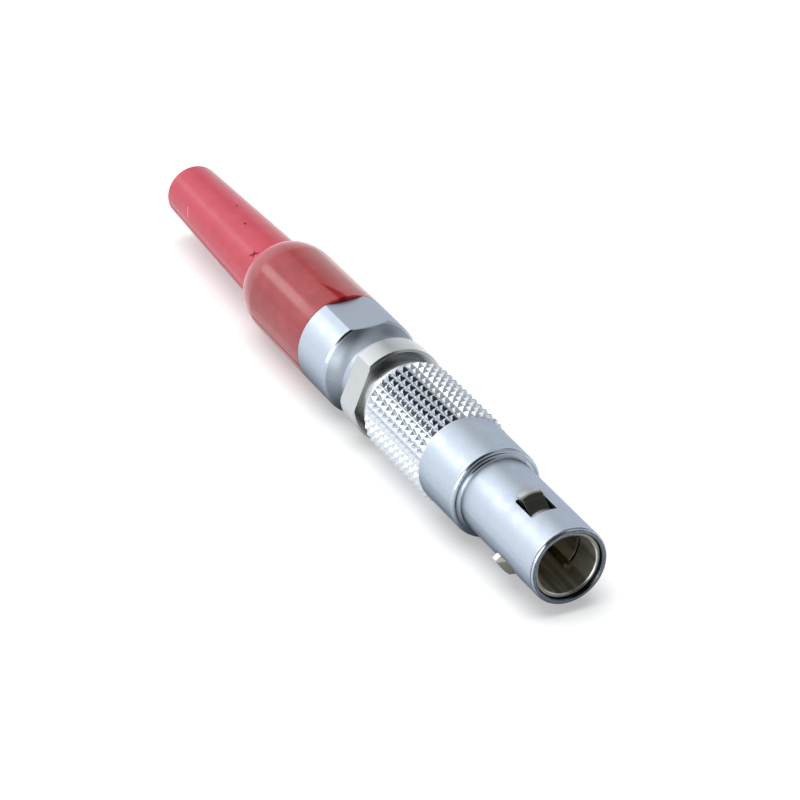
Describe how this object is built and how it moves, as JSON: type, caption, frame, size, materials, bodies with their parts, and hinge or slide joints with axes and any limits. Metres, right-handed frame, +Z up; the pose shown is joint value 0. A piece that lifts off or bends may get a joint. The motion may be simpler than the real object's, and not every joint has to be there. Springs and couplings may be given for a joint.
{
  "type": "coaxial cable plug",
  "caption": "Miniature push-pull coaxial cable plug with a sliding knurled shell, latch teeth in its nose, and a soft tapered bend relief.",
  "frame": {"origin": "centre of the mating face, on the plug's axis", "axes": "+X along the axis from the mating face to the cable end, +Z up as the plug lies, +Y to its side"},
  "size_m": [0.0531, 0.0066, 0.0065],
  "materials": {
    "satin_chrome": "satin",
    "nickel": "fine turned",
    "insulator": "smooth",
    "contact_gold": "gold plated",
    "brass": "turned",
    "red_relief": "smooth, glossy"
  },
  "bodies": {
    "plug_body": {"latch_sleeve": "nickel", "front_insulator": "insulator", "rear_insulator": "insulator", "centre_contact": "contact_gold", "braid_cone": "brass", "collet": "nickel", "collet_nut": "satin_chrome", "bend_relief": "red_relief"},
    "release_shell": {"outer_shell": "satin_chrome"}
  },
  "joints": [
    {"name": "shell_slide", "type": "slide", "parent": "plug_body", "child": "release_shell", "axis": [1, 0, 0], "range_m": [0, 0.00058], "stiffness_N_per_m": 800}
  ]
}
